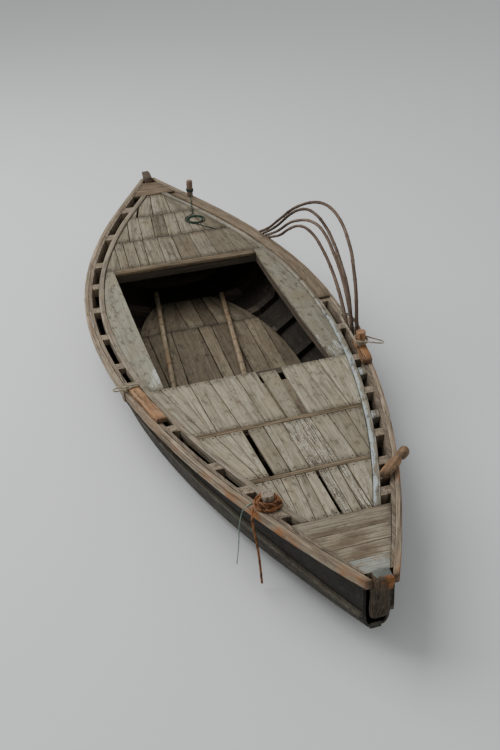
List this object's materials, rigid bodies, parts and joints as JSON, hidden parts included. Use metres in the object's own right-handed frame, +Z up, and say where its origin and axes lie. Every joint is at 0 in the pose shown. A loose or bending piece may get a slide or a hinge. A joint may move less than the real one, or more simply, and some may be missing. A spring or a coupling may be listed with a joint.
{
  "type": "rowing boat",
  "caption": "Old plank rowing boat with a spoon bow and stern, half decked at both ends, with an open well, oar pads, bent cane hoops, mooring posts and two loose oars.",
  "frame": {"origin": "amidships on the waterline, on the centre plane", "axes": "+X from stern to bow, +Y to port, +Z up; z = 0 is the water's surface"},
  "size_m": [5.663, 1.9462, 1.3137],
  "materials": {
    "hull_wood": "weathered, partly tarred",
    "tarred_plank": "dark, tarred",
    "rail_wood": "worn bare",
    "inwale_paint": "worn pale paint",
    "deck_grey": "weathered grey",
    "deck_green_grey": "weathered, mottled",
    "deck_brown": "weathered brown",
    "bottom_boards": "worn brown",
    "framing": "weathered",
    "stem_paint": "worn blue-grey paint",
    "pad_orange": "worn orange-brown",
    "cane": "bark",
    "oar_wood": "knotty, bare",
    "rope_rusty": "rust-stained rope",
    "rope_pale": "old pale rope",
    "cord_green": "dark green cord"
  },
  "bodies": {
    "root": {"keel_plank": "hull_wood", "garboard_port": "hull_wood", "garboard_starboard": "hull_wood", "bottom_plank_port": "hull_wood", "bottom_plank_starboard": "hull_wood", "lower_bilge_plank_port": "hull_wood", "lower_bilge_plank_starboard": "hull_wood", "upper_bilge_plank_port": "hull_wood", "upper_bilge_plank_starboard": "hull_wood", "topside_plank_port": "tarred_plank", "topside_plank_starboard": "tarred_plank", "rubbing_strips": "rail_wood", "outer_rail_port": "rail_wood", "outer_rail_starboard": "rail_wood", "inwale_port": "inwale_paint", "inwale_starboard": "inwale_paint", "floor_timbers": "framing", "side_frames_port": "framing", "side_frames_starboard": "framing", "foredeck_boards_aft_row": "deck_grey", "foredeck_boards_mid_row": "deck_grey", "foredeck_boards_fore_row": "deck_grey", "after_deck_boards_fore_row": "deck_grey", "after_deck_boards_mid_row": "deck_grey", "after_deck_boards_aft_row": "deck_grey", "side_deck_planks": "deck_green_grey", "deck_beams": "framing", "well_edge_piece": "deck_brown", "foredeck_battens": "deck_brown", "carlins": "framing", "bottom_boards_aft_row": "bottom_boards", "bottom_boards_fore_row": "bottom_boards", "bow_deck_planks": "deck_grey", "stern_deck_planks": "deck_brown", "end_deck_ledges": "framing", "bow_stem_block": "stem_paint", "stern_stem_block": "rail_wood", "port_quarter_cap": "deck_brown", "port_gap_fillers": "inwale_paint", "port_cleat_block": "inwale_paint", "starboard_oar_pad": "pad_orange", "port_oar_pad": "pad_orange", "cane_hoops": "cane", "port_thole_post": "pad_orange", "port_lashing": "rope_pale", "mooring_post": "rail_wood", "mooring_post_turns": "rope_rusty", "after_post": "deck_brown", "after_post_turns": "cord_green", "port_log_cleat": "deck_brown", "starboard_lashing": "rope_pale", "starboard_oar": "oar_wood", "port_oar": "oar_wood", "mooring_rope_end": "rope_rusty", "thin_line_end": "cord_green", "quarter_line_coil": "cord_green", "quarter_line": "cord_green", "quarter_line_tail": "cord_green"}
  },
  "joints": []
}
